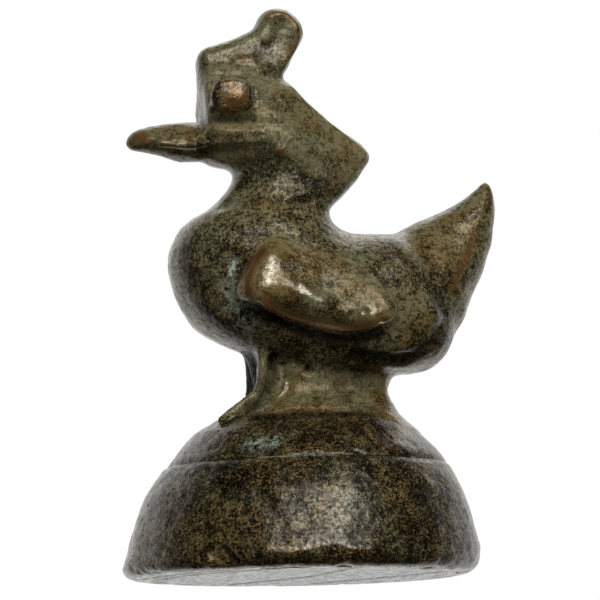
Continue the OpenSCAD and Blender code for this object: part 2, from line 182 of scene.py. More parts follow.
# Damage on the bird's left side alone
PANEL_HOLE = [(-0.2, 20.2)]
RIM_RIDGE = [(-7.2, 1.7), (-4.7, 1.5), (-1.9, 1.9), (-0.2, 2.4), (1.2, 1.6), (2.8, 1.7), (4.0, 1.5)]
RIM_BEVEL = [(-6.5, 0.4), (-1.9, 0.4), (4.0, 0.3), (8.0, 0.3)]
RIM_NOTCH = [(-10.8, 2.4), (-10.1, 1.3), (-9.4, 0.4)]
RIM_NICK = [(-7.6, 1.6), (-7.6, 0.4)]
LEFT_MARKS = [
    (-0.45, 0.35, [(-9.1, 48.3)]),
    (0.25, 0.8, PANEL_HOLE),
    (-1.0, 0.42, PANEL_HOLE),
    (-0.25, 0.2, [(-3.0, 20.7), (-0.8, 20.8)]),
    (-0.6, 0.8, [(-11.7, 1.5), (-10.5, 0.8)]),
    (-0.7, 0.3, RIM_NOTCH),
    (-0.6, 0.35, RIM_NICK),
    (0.2, 0.8, RIM_RIDGE),
    (-0.15, 0.2, [(4.8, 14.6), (5.7, 13.5)]),
    (-0.15, 0.2, [(5.6, 14.3), (6.8, 12.8)]),
    (-0.12, 0.2, [(2.1, 11.7), (3.7, 11.2)]),
    (-0.12, 0.2, [(-13.3, 4.5), (-12.1, 4.9)]),
]

# Points of a mark on the front are y and z, and those under the foot are x and y
FRONT_MARKS = [
    (0.15, 2.2, [(0, 27.5), (0, 24.5), (0, 22.8)]),
]
UNDER_MARKS = [
    (-0.25, 0.3, [(-5.2, 12.9), (-2.3, 6.7), (0.5, 0.5), (1.7, -9.0), (2.3, -15.4)]),
    (-0.2, 0.35, [(-15.8, 2.0), (-13.2, -7.5), (-9.0, -13.0)]),
    (-0.2, 0.3, [(-14.4, 5.0), (-12.0, -4.5), (-8.0, -11.0), (-4.0, -14.8)]),
    (-0.15, 0.6, [(3.0, 12.0), (8.0, 4.0), (12.5, -6.0)]),
]
MARKS = {
    "left": BOTH_SIDES + LEFT_MARKS,
    "right": BOTH_SIDES,
    "front": FRONT_MARKS,
    "under": UNDER_MARKS,
}

# The way that a mark is dropped on the skin, and how its line is rounded before that
HEADINGS = {"left": (0, 1, 0), "right": (0, -1, 0), "front": (1, 0, 0), "under": (0, 0, 1)}
DROP_HEIGHT = 80
DROP_STEP = 0.2
CORNER_STEPS = 3
CORNER_ROUNDS = 2

# A mark is felt as far as this many widths off, and the carved skin is eased by this much
MARK_REACH = 2.4
CARVE_EASE = 0.3

# Unevenness of the cast surface: size of a lump and its height
LUMPS = [(4.5, 0.12), (1.6, 0.06), (0.6, 0.03)]
LUMP_CELLS = 64
LUMP_START = 1000.5

# Chips of the rim under the dome: size, seed and share of each kind of lump that they follow
RIM_LUMPS = [(1.9, 11, 1.0), (0.8, 12, 0.5)]
RIM_SOUND = 0.25
RIM_CHIP = 0.4
RIM_HEIGHT = 1.6
RIM_INSIDE = 15

# Paint is (strength, width, points) on a side, as marks are
WEAR_PAINT = [
    (0.6, 2.1, [(-7.2, 46.9)]),
    (0.95, 0.55, [(5.9, 24.3), (6.5, 24.4)]),
    (0.6, 0.9, [(-7.0, 27.0), (-7.2, 28.6), (-6.4, 30.2), (-5.2, 31.6)]),
    (0.55, 0.55, WING_RIM),
    (0.3, 1.0, [(6.3, 26.2), (5.6, 27.2), (4.0, 28.4)]),
    (0.42, 0.7, [(17.4, 35.0), (16.6, 32.5), (15.4, 30.0), (14.0, 27.4)]),
    (0.5, 1.0, [(-16.6, 43.4), (-15.4, 43.2)]),
    (0.6, 0.35, [(-14.0, 42.7), (-12.6, 42.4)]),
    (0.65, 0.4, CHEEK_SPOT),
    (0.38, 0.8, [(-3.0, 55.4), (-1.5, 55.9), (-0.2, 55.0), (0.2, 53.6), (-0.3, 52.2), (-1.5, 50.8)]),
    (0.45, 0.4, [(-6.4, 50.9), (-4.5, 51.0)]),
]
LEFT_WEAR_PAINT = [
    (0.3, 0.6, RIM_RIDGE),
]
GREEN_PAINT = [
    (1.0, 0.6, [(-7.9, 30.4), (-8.0, 29.2)]),
    (0.9, 0.45, [(-8.3, 27.2), (-8.0, 26.2)]),
    (0.45, 1.3, [(-8.2, 28.0), (-6.6, 24.4)]),
]
LEFT_GREEN_PAINT = [
    (0.6, 0.8, [(-7.4, 12.3), (-4.6, 12.6)]),
    (0.9, 0.3, [(-2.9, 13.2)]),
]
LEFT_DEPOSIT_PAINT = [
    (1.0, 0.3, [(-6.8, LINE_Z), (-2.0, LINE_Z)]),
    (0.6, 0.3, [(-2.0, LINE_Z), (1.0, LINE_Z)]),
    (1.0, 0.3, [(8.5, LINE_Z), (9.3, LINE_Z)]),
]
# Painted shadows: under the bill, the eye and the wing, in the folds of belly, rump and tail, on the dome
# under the skirt, under the skirt's lip and in the valley by the leg
SHADE_PAINT = [
    (0.7, 0.6, UNDER_BILL),
    (0.8, 0.5, UNDER_EYE),
    (1.0, 0.75, UNDER_WING),
    (1.0, 1.0, BELLY_FOLD),
    (0.9, 0.8, RUMP_FOLD),
    (0.5, 0.6, TAIL_CREASE),
    (0.5, 1.3, [(-4.5, 14.0), (0.0, 13.8), (5.0, 14.0)]),
    (1.0, 0.5, SKIRT_EDGE),
    (0.6, 0.45, VALLEY),
]
# Painted shade in the pit of the panel, in the rim's notch and nick, and on the rim's dark bevel
LEFT_SHADE_PAINT = [
    (0.7, 0.7, RIM_BEVEL),
    (1.0, 0.4, PANEL_HOLE),
    (1.0, 0.35, RIM_NOTCH),
    (1.0, 0.35, RIM_NICK),
]
# Painted shade between the legs, seen from the front
FRONT_SHADE_PAINT = [
    (0.8, 1.2, [(3.4, 21.5), (3.4, 17.5)]),
]
# Painted light: lighter bands where light and reflections fall, on the nape's top edge, the forehead, the
# tail's flank, the rear belly and the foot strap
PAINTED_LIGHT = [
    (0.1, 0.45, [(-1.2, 48.1), (2.0, 45.1), (5.0, 42.8), (6.5, 41.5)]),
    (0.06, 0.4, [(-10.2, 45.2), (-10.3, 48.0), (-9.9, 50.0)]),
    (0.17, 2.4, [(9.5, 27.5), (11.0, 25.0), (8.0, 23.6)]),
    (0.1, 1.4, [(11.5, 20.6), (9.0, 19.8)]),
    (0.1, 0.6, STRAP),
]
DULL_PAINT = [
    (0.8, 2.0, [(0.6, 31.0), (3.4, 29.0), (4.4, 27.6)]),
]
SHINE_PAINT = [
    (2.2, 0.8, WING_SHOULDER),
    (2.2, 0.55, [(-3.4, 28.2), (-1.8, 27.4), (0.4, 26.4)]),
    (1.8, 0.4, WING_RIM),
    (0.9, 1.2, [(-1.9, 53.8), (-3.0, 52.2)]),
    (1.8, 1.7, [(12.2, 21.4), (10.5, 20.4), (8.0, 19.8)]),
    (1.0, 0.4, PANEL_EDGE),
    (2.2, 0.8, WING_TIP),
]
LEFT_SHINE_PAINT = [
    (0.85, 2.4, [(0.3, 4.0), (0.8, 7.2)]),
    (1.2, 0.6, RIM_RIDGE),
]
FRONT_SHINE_PAINT = [
    (1.2, 4.0, [(0, 38.5), (0, 33.0), (0, 28.0), (0, 23.5)]),
]

# How far a place stands out or lies deep is measured from the skin after few or many rounds of smoothing
FINE_ROUNDS = 6
BROAD_ROUNDS = 60

# What the shape itself paints: where it starts, where it is full, and how strong it then is.
# The first four go by how far a place stands out or lies deep: worn metal on what stands out, and on what
# lies deep a darkening that is painted shade with some dirt. The last two go by how it faces up or down: dust
# with painted light from above on what faces up, and the worn foot painted pale as a reflection of the white
# ground on what faces down.
WORN_FINE = (0.03, 0.11, 0.4)
WORN_BROAD = (0.15, 0.65, 0.4)
HOLLOW_FINE = (0.02, 0.1, 0.4)
HOLLOW_BROAD = (0.08, 0.38, 0.6)
DUST_AND_TOP_LIGHT = (0.2, 0.8, 0.15)
UNDER = (0.8, 0.95, 1.0)

# Dust with painted top light lies only above the base, and the bare metal, painted pale as a reflection,
# shows only this near to the table
BASE_TOP = 19
UNDER_HEIGHT = 0.5

# Painted shade between the legs: middle, reach each way, and how many reaches off it ends
SHADE_BETWEEN_LEGS = ((-5.2, 0, 19), (2.0, 2.3, 3.4))
SHADE_BETWEEN_LEGS_END = 1.5

# How much less grain there is where the surface shines
SHINE_SMOOTHS = 0.4

# The pieces are closed inside the casting. Where an open edge bends too much for one flat end,
# the piece is lined instead.
WALL_DEPTH = 0.7
LINED = ("support_block", "left_leg", "right_leg")
LINING_DEPTH = 0.3

# Colours of the patina. The first two go from dark specks to light ones.
BROWNS = [
    (0.36, (0.003, 0.002, 0.0008)),
    (0.46, (0.009, 0.0058, 0.0018)),
    (0.53, (0.038, 0.0205, 0.0047)),
    (0.6, (0.095, 0.058, 0.0155)),
    (0.7, (0.18, 0.125, 0.047)),
]
OLIVES = [
    (0.34, (0.005, 0.004, 0.002)),
    (0.44, (0.018, 0.015, 0.0065)),
    (0.52, (0.06, 0.051, 0.024)),
    (0.6, (0.12, 0.106, 0.055)),
    (0.72, (0.21, 0.19, 0.105)),
]
# The dark of pits and dirt, which is also the colour of the painted shade in hollows, folds, under the wing
# and between the legs
DARK_DIRT_AND_SHADE = (0.006, 0.0045, 0.0025, 1)
RUBBED = (0.15, 0.075, 0.024, 1)
BRIGHT = (0.6, 0.42, 0.25, 1)
VERDIGRIS = (0.4, 0.48, 0.37, 1)
PALE_LINE = (0.24, 0.26, 0.2, 1)
FLECK = (0.22, 0.178, 0.09, 1)
MOSS = (0.075, 0.088, 0.045, 1)
SCRATCHED = (*OLIVES[-1][1], 1)
# Worn bare bronze on the foot, painted pale as a reflection of the white ground
BARE_AND_REFLECTION = (0.5, 0.47, 0.36, 1)
BARE_STAINED = (0.14, 0.125, 0.1, 1)
SHEEN = (1, 0.93, 0.78, 1)
PATINA_IOR = 1.8

# Noises of the patina: size of a grain, detail, roughness
NOISES = {
    "grain": (0.25, 3.0, 0.65),
    "fine": (0.12, 2.0, 0.6),
    "mottle": (1.6, 4.0, 0.65),
    "patch": (6.0, 3.0, 0.6),
    "drift": (2.8, 3.0, 0.6),
    "moss": (0.22, 3.0, 0.6),
    "pits": (0.55, 4.0, 0.7),
    "fleck": (0.3, 4.0, 0.7),
    "crust": (0.6, 5.0, 0.75),
    "gleam": (0.38, 3.0, 0.7),
}
NOISE_MIDDLE = 0.5

# Scratches: turn, width, and length in widths
SCRATCHES = [((0.3, 0.9, 0.5), 0.25, 9), ((1.2, -0.4, 2.1), 0.22, 12)]
SCRATCH_DETAIL = 2.0
SCRATCH_ROUGHNESS = 0.5

# How a value of the patina or the backdrop is stretched: from low, from high, to low, to high
RANGES = {
    "contrast": (0.3, 1.0, 1.2, 2.3),
    "drift_level": (0.3, 0.7, -0.07, 0.07),
    "patch_level": (0.3, 0.7, 0.05, -0.05),
    "patch_hue": (0.3, 0.7, -0.5, 0.5),
    "drift_hue": (0.3, 0.7, -0.3, 0.3),
    "moss": (0.54, 0.64, 0.0, 0.8),
    "moss_drift": (0.4, 0.6, 0.0, 1.0),
    "pits": (0.42, 0.5, 0.95, 0.0),
    "fleck": (0.56, 0.66, 0.0, 0.9),
    "fleck_mottle": (0.4, 0.6, 0.2, 1.0),
    "scratch": (0.64, 0.74, 0.0, 0.6),
    "scratch_cut": (0.62, 0.8, 0.0, 1.0),
    "rub_speck": (0.3, 0.65, 0.5, 1.25),
    "rubbed": (0.15, 0.65, 0.0, 0.85),
    "bright": (0.7, 1.05, 0.0, 0.85),
    "crust": (0.44, 0.6, 0.0, 1.0),
    "line": (0.03 * MM, 0.09 * MM, 1.0, 0.0),
    "line_speck": (0.42, 0.52, 0.2, 0.9),
    "deposit": (0.2, 0.9, 0.0, 1.0),
    "stain": (0.22, 0.34, 0.0, 1.0),
    "roughness": (0.35, 0.65, 0.21, 0.12),
    "shine_roughness": (1.0, 2.0, 0.0, 0.12),
    "metal": (0.3, 1.0, 0.1, 0.85),
    "gloss": (0.38, 0.62, 0.1, 0.7),
    "hollow_gloss": (0.0, 0.7, 1.0, 0.1),
    "pit_gloss": (0.0, 0.7, 1.0, 0.4),
    "bump": (0.3, 1.0, 0.45, 1.0),
    "backdrop": (0.1, 0.25, 0.012, 1.0),
}
SPECK_SHARES = {"grain": 0.45, "fine": 0.3, "mottle": 0.25}
GLEAM_SHARES = {"gleam": 0.7, "fine": 0.3}
RELIEF_SHARES = {"grain": 0.6, "fine": 0.3, "mottle": 1.2, "cut": -0.4, "line": -1.0}
# How far the mask of hollows darkens the colour: painted shade with some dirt
HOLLOW_SHADE_AND_DIRT = 0.8
HOLLOW_ROUGHNESS = 0.25
# How far the foot takes the pale bare colour, worn metal with a painted reflection
UNDER_BARE_AND_REFLECTION = 0.95
STAIN_ROUGHNESS = 0.14
BUMP_DISTANCE = 0.05 * MM

# Where the Mix node has its sockets for colours
MIX_SHARE, MIX_A, MIX_B, MIX_RESULT = 0, 6, 7, 2

# The camera, with the photograph's frame in pixels
CAMERA_AZIMUTH = -10.8
CAMERA_ELEVATION = -4.9
CAMERA_ROLL = 1.136
CAMERA_DISTANCE = 1.0
CAMERA_AIM = (0, 0, 0.028)
SENSOR_WIDTH = 36
PIXELS = 600
PIXELS_PER_MM = 10.121
AIM_PIXEL = (299.92, 293.76)

FLOOR_RADIUS = 3.0
FLOOR_HOLE = 0.015
FLOOR_DROP = 0.00005
FLOOR_SIDES = 96
FLOOR_COLOUR = (0.85, 0.85, 0.84, 1)
FLOOR_ROUGHNESS = 0.9
FLOOR_GLOW = 0.3

# Softboxes: azimuth from the camera's, elevation, distance, width, height, watts
SOFTBOXES = {
    "key": (15, 35, 0.6, 0.56, 0.44, 4.0),
    "back": (160, 45, 0.6, 0.5, 0.4, 0.5),
}
BACKDROP_AZIMUTH = CAMERA_AZIMUTH - 171
BACKDROP_FADE = 0.5
FILL = 0.4
WHITE = (1, 1, 1, 1)


def quad_edges(quads):
    """The four edges of each quad, in the quad's direction."""
    return np.concatenate([quads[:, [k, (k + 1) % 4]] for k in range(4)])


class Skin:
    """A closed mesh of quads in millimetres."""

    def __init__(self, points, quads):
        self.points = points
        self.quads = quads
        self.edges = np.unique(np.sort(quad_edges(quads), axis=1), axis=0)

    def relaxed(self, values, rounds, weight=HALFWAY):
        """The points' values after each has moved towards its neighbours, by its weight, in each round."""
        weight = np.broadcast_to(weight, len(values))
        edges = self.edges[(weight[self.edges] > 0).any(axis=1)]
        used, place = np.unique(edges, return_inverse=True)
        a, b = place.reshape(-1, 2).T
        n = len(used)
        share = weight[used] / np.bincount(np.concatenate([a, b]), minlength=n)
        columns = values[used].reshape(n, -1).T.astype(float)
        for _ in range(rounds):
            for column in columns:
                gap = column[b] - column[a]
                column += share * (np.bincount(a, gap, n) - np.bincount(b, gap, n))
        result = values.astype(float)
        result[used] = columns.T.reshape(n, *values.shape[1:])
        return result

    def normals(self):
        """The way that the skin faces at each point."""
        corner = self.points[self.quads]
        across = np.cross(corner[:, 2] - corner[:, 0], corner[:, 3] - corner[:, 1])
        n = len(self.points)
        total = np.zeros((n, 3))
        for k in range(4):
            for axis in range(3):
                total[:, axis] += np.bincount(self.quads[:, k], across[:, axis], n)
        return total / np.maximum(np.linalg.norm(total, axis=1, keepdims=True), TINY)

    def tree(self):
        return BVHTree.FromPolygons(self.points.tolist(), self.quads.tolist())


def new_object(name, points, faces):
    mesh = bpy.data.meshes.new(name)
    mesh.from_pydata(points, [], faces)
    made = bpy.data.objects.new(name, mesh)
    bpy.context.scene.collection.objects.link(made)
    return made


def read_out(items, key, width, kind):
    """One property of a mesh's items, as rows of a given width."""
    flat = np.empty(len(items) * width, kind)
    items.foreach_get(key, flat)
    return flat.reshape(-1, width)


def cad_triangles():
    """All the CAD triangles in millimetres, and which node each belongs to."""
    corners, owners = [], []
    for number, name in enumerate(NAMES):
        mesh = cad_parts[name].data
        mesh.calc_loop_triangles()
        points = read_out(mesh.vertices, "co", 3, np.float32)
        order = read_out(mesh.loop_triangles, "vertices", 3, np.int32)
        corners.append(points[order] / MM)
        owners.append(np.full(len(order), number))
    return np.concatenate(corners), np.concatenate(owners)


def fillet_triangles():
    """The fillets as ellipsoids of triangles."""
    ball = bmesh.new()
    bmesh.ops.create_icosphere(ball, subdivisions=FILLET_SUBDIVISIONS, radius=1)
    corners = np.array([[corner.co for corner in face.verts] for face in ball.faces])
    ball.free()
    return np.concatenate([corners * reach + middle for middle, reach in FILLETS])


def loose(triangles):
    """Triangles as points and faces, with no point shared."""
    points = triangles.reshape(-1, 3)
    return points.tolist(), np.arange(len(points)).reshape(-1, 3).tolist()


def parts_of(count, edges):
    """For each point, the lowest number among the points that edges join it to."""
    label = np.arange(count)
    while True:
        before = label.copy()
        low = np.minimum(label[edges[:, 0]], label[edges[:, 1]])
        np.minimum.at(label, edges[:, 0], low)
        np.minimum.at(label, edges[:, 1], low)
        label = label[label]
        if np.array_equal(label, before):
            return label


def largest_part(count, edges):
    """Whether each point is in the largest part that edges join."""
    label = parts_of(count, edges)
    return label == np.bincount(label).argmax()


def fused_skin(triangles):
    """One skin of small quads round all the solids together."""
    source = new_object("skin_source", *loose(triangles))
    remesh = source.modifiers.new("skin", "REMESH")
    remesh.mode = "VOXEL"
    remesh.voxel_size = VOXEL
    graph = bpy.context.evaluated_depsgraph_get()
    mesh = source.evaluated_get(graph).to_mesh()
    points = read_out(mesh.vertices, "co", 3, np.float32).astype(float)
    quads = read_out(mesh.loops, "vertex_index", 1, np.int32).reshape(-1, 4)
    kept = largest_part(len(points), Skin(points, quads).edges)
    new_number = np.cumsum(kept) - 1
    old_mesh = source.data
    bpy.data.objects.remove(source)
    bpy.data.meshes.remove(old_mesh)
    return Skin(points[kept], new_number[quads[kept[quads[:, 0]]]])


def nearest_node(skin, triangles, owners):
    """For each point of the skin, the CAD node it lies on."""
    tree = BVHTree.FromPolygons(*loose(triangles))
    found = [tree.find_nearest(point)[2] for point in skin.points.tolist()]
    return owners[np.array(found)]


def tidy_labels(skin, label):
    """Labels with ragged edges evened out and stray islands given to their neighbours."""
    share = skin.relaxed(np.eye(len(NAMES))[label], LABEL_ROUNDS)
    label = share.argmax(axis=1)
    for number in range(len(NAMES)):
        mine = np.flatnonzero(label == number)
        inner = skin.edges[(label[skin.edges] == number).all(axis=1)]
        place = np.full(len(label), -1)
        place[mine] = np.arange(len(mine))
        stray = mine[~largest_part(len(mine), place[inner])]
        share[stray, number] = 0
    return share.argmax(axis=1)


def piece_values(skin, label, key):
    """One of the pieces' values at each point, run together where pieces meet."""
    return skin.relaxed(np.array([PIECES[name][key] for name in NAMES])[label], RUN_OVER_ROUNDS[key])


def belonging(skin, label, names, rounds):
    """1 on some pieces and 0 on the others, fading over their edges."""
    numbers = [NAMES.index(name) for name in names]
    return skin.relaxed(1.0 * np.isin(label, numbers), rounds)


def off_middle(points, middle, reach):
    """How far off a place's middle each point is, as a share of its reach."""
    return np.linalg.norm((points - middle) / np.array(reach), axis=1)


def melt(skin, label):
    """Rounds off the solids' edges and runs the forms into each other."""
    skin.points = skin.relaxed(skin.points, MELT_ROUNDS, HALFWAY * piece_values(skin, label, MELT))
    for middle, reach, rounds in SMOOTHED:
        inside = np.clip(SMOOTHED_FADE * (1 - off_middle(skin.points, middle, reach)), 0, 1)
        skin.points = skin.relaxed(skin.points, rounds, HALFWAY * inside)


def bend_base(skin, label):
    """Gives the dome the lean and the wall of the real casting, and leaves the legs as thick as they are."""
    x, y, z = skin.points.T
    free = 1 - belonging(skin, label, LEGS, LEG_ROUNDS)
    growth = 1 + free * np.interp(z, BASE_AT, GROWTH) / np.maximum(np.hypot(x, y), LINE_INSIDE)
    skin.points[:, :2] *= growth[:, None]
    skin.points[:, 0] += np.interp(z, BASE_AT, LEAN)


def widen_eye(skin, label):
    """Spreads the left eye bead on the head, where it was pressed on harder."""
    pressed = belonging(skin, label, ["left_eye"], EYE_ROUNDS)
    for axis, middle in zip((0, 2), EYE_MIDDLE):
        skin.points[:, axis] += EYE_SPREAD * pressed * (skin.points[:, axis] - middle)


def set_foot_back(skin, label):
    """Bends the right leg back towards its foot, with its marks and its paint."""
    right_leg = belonging(skin, label, ["right_leg"], LEG_ROUNDS)
    skin.points[:, 0] += right_leg * np.interp(skin.points[:, 2], RIGHT_FOOT_AT, RIGHT_FOOT_BACK)


def smooth_curve(line):
    """Points close together along a line, with its corners rounded."""
    spans = []
    for a, b in zip(line, line[1:]):
        steps = int(np.linalg.norm(b - a) / DROP_STEP)
        spans.append(np.linspace(a, b, steps + 2))
    path = np.concatenate(spans)
    for _ in range(CORNER_ROUNDS):
        padded = np.pad(path, ((CORNER_STEPS, CORNER_STEPS), (0, 0)), "edge")
        path = np.mean([padded[k : k + len(path)] for k in range(2 * CORNER_STEPS + 1)], axis=0)
    return path


def dropped(tree, line, way):
    """Points close together along a mark, dropped on the skin from outside."""
    line = np.array(line, float)
    if len(line) > 1:
        line = smooth_curve(line)
    heading = np.array(HEADINGS[way], float)
    found = []
    for spot in line:
        start = -DROP_HEIGHT * heading
        start[heading == 0] = spot
        hit = tree.ray_cast(start, heading)[0]
        found.append(hit or tree.find_nearest(start * (heading == 0))[0])
    return np.array(found)


def near(points, line, width):
    """How strongly each point feels a mark: 1 on its line and fading over its width."""
    reach = MARK_REACH * width
    inside = ((points > line.min(axis=0) - reach) & (points < line.max(axis=0) + reach)).all(axis=1)
    chosen = np.flatnonzero(inside)
    closest = np.full(len(chosen), np.inf)
    for spot in line:
        closest = np.minimum(closest, ((points[chosen] - spot) ** 2).sum(axis=1))
    felt = np.zeros(len(points))
    felt[chosen] = np.exp(-closest / width**2)
    return felt


def lumps(points, size, seed):
    """Smooth chance values from -1 to 1 that change over a given size."""
    grid = np.random.default_rng(seed).uniform(-1, 1, (LUMP_CELLS, LUMP_CELLS, LUMP_CELLS))
    place = points / size + LUMP_START
    cell = np.floor(place).astype(int)
    part = place - cell
    part = part * part * (3 - 2 * part)
    total = np.zeros(len(points))
    for corner in np.ndindex(2, 2, 2):
        share = np.prod(np.where(corner, part, 1 - part), axis=1)
        total += share * grid[tuple(((cell + corner) % LUMP_CELLS).T)]
    return total


def scribed(z, radius):
    """How strongly a point feels the line scribed round the base."""
    return np.exp(-(((z - LINE_Z) / LINE_WIDTH) ** 2)) * (radius > LINE_INSIDE)


def rim_chips(points, radius):
    """How deep the rim under the dome is chipped at each point."""
    chance = sum(share * lumps(points, size, seed) for size, seed, share in RIM_LUMPS)
    low = np.clip(1 - points[:, 2] / RIM_HEIGHT, 0, 1)
    return RIM_CHIP * np.clip(chance - RIM_SOUND, 0, 1) * low * (radius > RIM_INSIDE)


def carve(skin):
    """Raises and cuts the marks that the founder and the years left."""
    tree = skin.tree()
    normals = skin.relaxed(skin.normals(), NORMAL_ROUNDS)
    height = np.zeros(len(skin.points))
    for way, marks in MARKS.items():
        for rise, width, line in marks:
            height += rise * near(skin.points, dropped(tree, line, way), width)
    x, y, z = skin.points.T
    radius = np.hypot(x, y)
    height -= LINE_DEPTH * scribed(z, radius)
    for seed, (size, rise) in enumerate(LUMPS):
        height += rise * lumps(skin.points, size, seed) * np.clip(z / RIM_HEIGHT, 0, 1)
    height -= rim_chips(skin.points, radius)
    skin.points += normals * height[:, None]
    skin.points[:, 2] = np.maximum(skin.points[:, 2], 0)
    skin.points = skin.relaxed(skin.points, 1, CARVE_EASE)


def sided(paints, left=(), front=()):
    """Paints for the two sides, with some for the left or the front alone."""
    return {"left": [*paints, *left], "right": paints, "front": front}


PAINTS = {
    "wear": sided(WEAR_PAINT, LEFT_WEAR_PAINT),
    "green": sided(GREEN_PAINT, LEFT_GREEN_PAINT),
    "deposit": sided([], LEFT_DEPOSIT_PAINT),
    "painted_shade": sided(SHADE_PAINT, LEFT_SHADE_PAINT, FRONT_SHADE_PAINT),
    "pale": sided(PAINTED_LIGHT),
    "dull": sided(DULL_PAINT),
    "shine": sided(SHINE_PAINT, LEFT_SHINE_PAINT, FRONT_SHINE_PAINT),
}


def painted_on(skin, tree, paints):
    """The strongest of some paints at each point."""
    felt = np.zeros(len(skin.points))
    for way, chosen in paints.items():
        for strength, width, line in chosen:
            felt = np.maximum(felt, strength * near(skin.points, dropped(tree, line, way), width))
    return felt


def bulge(skin, normals, rounds):
    """How far each point stands out from its smoothed surroundings."""
    return ((skin.points - skin.relaxed(skin.points, rounds)) * normals).sum(axis=1)


def rising(values, low, high, full):
    """0 up to a low value, and rising from there to its full strength at a high one."""
    return full * np.clip((values - low) / (high - low), 0, 1)


def paint(skin, label):
    """Values at each point that the material reads."""
    normals = skin.normals()
    tree = skin.tree()
    on = {key: painted_on(skin, tree, paints) for key, paints in PAINTS.items()}
    of_piece = {key: piece_values(skin, label, key) for key in (GRAIN, OLIVE, PALE, GLOSS)}
    height, upward = skin.points[:, 2], normals[:, 2]
    fine, broad = bulge(skin, normals, FINE_ROUNDS), bulge(skin, normals, BROAD_ROUNDS)
    wear = rising(fine, *WORN_FINE) + rising(broad, *WORN_BROAD)
    # Painted shade with some dirt in what lies deep, joined below with the painted shadows and the painted
    # shade between the legs
    shade_and_dirt = rising(-fine, *HOLLOW_FINE) + rising(-broad, *HOLLOW_BROAD)
    shade_between_legs = SHADE_BETWEEN_LEGS_END - off_middle(skin.points, *SHADE_BETWEEN_LEGS)
    all_shade_and_dirt = np.max([shade_and_dirt * (1 - on["wear"]), on["painted_shade"], shade_between_legs], axis=0)
    # Dust, and painted light from above, on what faces up
    dust_and_top_light = rising(upward, *DUST_AND_TOP_LIGHT) * (height > BASE_TOP)
    return {
        "wear": np.maximum(wear, on["wear"]),
        "green": on["green"],
        "deposit": on["deposit"],
        "shade_and_dirt": np.clip(all_shade_and_dirt, 0, 1),
        # The worn foot, painted pale as a reflection of the white ground under it
        "under": rising(-upward, *UNDER) * (height < UNDER_HEIGHT),
        "grain": of_piece[GRAIN] * (1 - SHINE_SMOOTHS * np.clip(on["shine"], 0, 1)),
        "olive": of_piece[OLIVE],
        # Lighter: each piece's own tone, dust with painted light from above, and the painted light on flanks,
        # edges and the strap
        "pale": of_piece[PALE] + dust_and_top_light + on["pale"],
        "gloss": np.maximum(of_piece[GLOSS] * (1 - on["dull"]), on["shine"]),
    }


def open_rim(quads, count):
    """The edges that only one quad has, each in that quad's direction."""
    directed = quad_edges(quads)
    forward, backward = directed @ (count, 1), directed[:, ::-1] @ (count, 1)
    return directed[~np.isin(forward, backward)]


def walled(quads, count):
    """Quads that go in from a piece's open edges, and the points that stand on those edges."""
    rim = open_rim(quads, count)
    edge_points, place = np.unique(rim, return_inverse=True)
    return np.column_stack([rim[:, ::-1], count + place.reshape(-1, 2)]), edge_points


def lined(quads, count):
    """Quads that line a piece inside and go in from its open edges, and the points that they copy."""
    rim = open_rim(quads, count)
    walls = np.column_stack([rim[:, ::-1], count + rim])
    return np.concatenate([walls, count + quads[:, ::-1]]), np.arange(count)


def close_holes(mesh):
    """Fills a piece's open ends, inside the casting."""
    shape = bmesh.new()
    shape.from_mesh(mesh)
    open_edges = [edge for edge in shape.edges if edge.is_boundary]
    for face in bmesh.ops.holes_fill(shape, edges=open_edges, sides=0)["faces"]:
        corner = face.loops[0]
        if corner.link_loop_radial_next.vert == corner.vert:
            face.normal_flip()
    shape.to_mesh(mesh)
    shape.free()


def cut_piece(skin, normals, quads, name):
    """A closed piece made of some of the skin's quads, and the skin's point at each of its points."""
    used, place = np.unique(quads, return_inverse=True)
    outer = place.reshape(-1, 4)
    close, inset = (lined, LINING_DEPTH) if name in LINED else (walled, WALL_DEPTH)
    inner, copied = close(outer, len(used))
    depth = np.append(np.zeros(len(used)), np.full(len(copied), inset))
    used = np.append(used, used[copied])
    points = skin.points[used] - normals[used] * depth[:, None]
    piece = new_object(name + "_skin", (points * MM).tolist(), np.concatenate([outer, inner]).tolist())
    close_holes(piece.data)
    return piece, used


def make_pieces(skin, label, values, material):
    """One closed piece for each CAD node, cut from the skin along the edges of its label."""
    normals = skin.normals()
    votes = np.stack([(label[skin.quads] == k).sum(axis=1) for k in range(len(NAMES))])
    face_label = votes.argmax(axis=0)
    for number, name in enumerate(NAMES):
        piece, used = cut_piece(skin, normals, skin.quads[face_label == number], name)
        mesh = piece.data
        mesh.polygons.foreach_set("use_smooth", np.ones(len(mesh.polygons), bool))
        mesh.normals_split_custom_set_from_vertices(normals[used].tolist())
        for key, value in values.items():
            layer = mesh.attributes.new(key, "FLOAT", "POINT")
            layer.data.foreach_set("value", value[used].astype(np.float32))
        mesh.materials.append(material)
        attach(piece, "root")
        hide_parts(name)


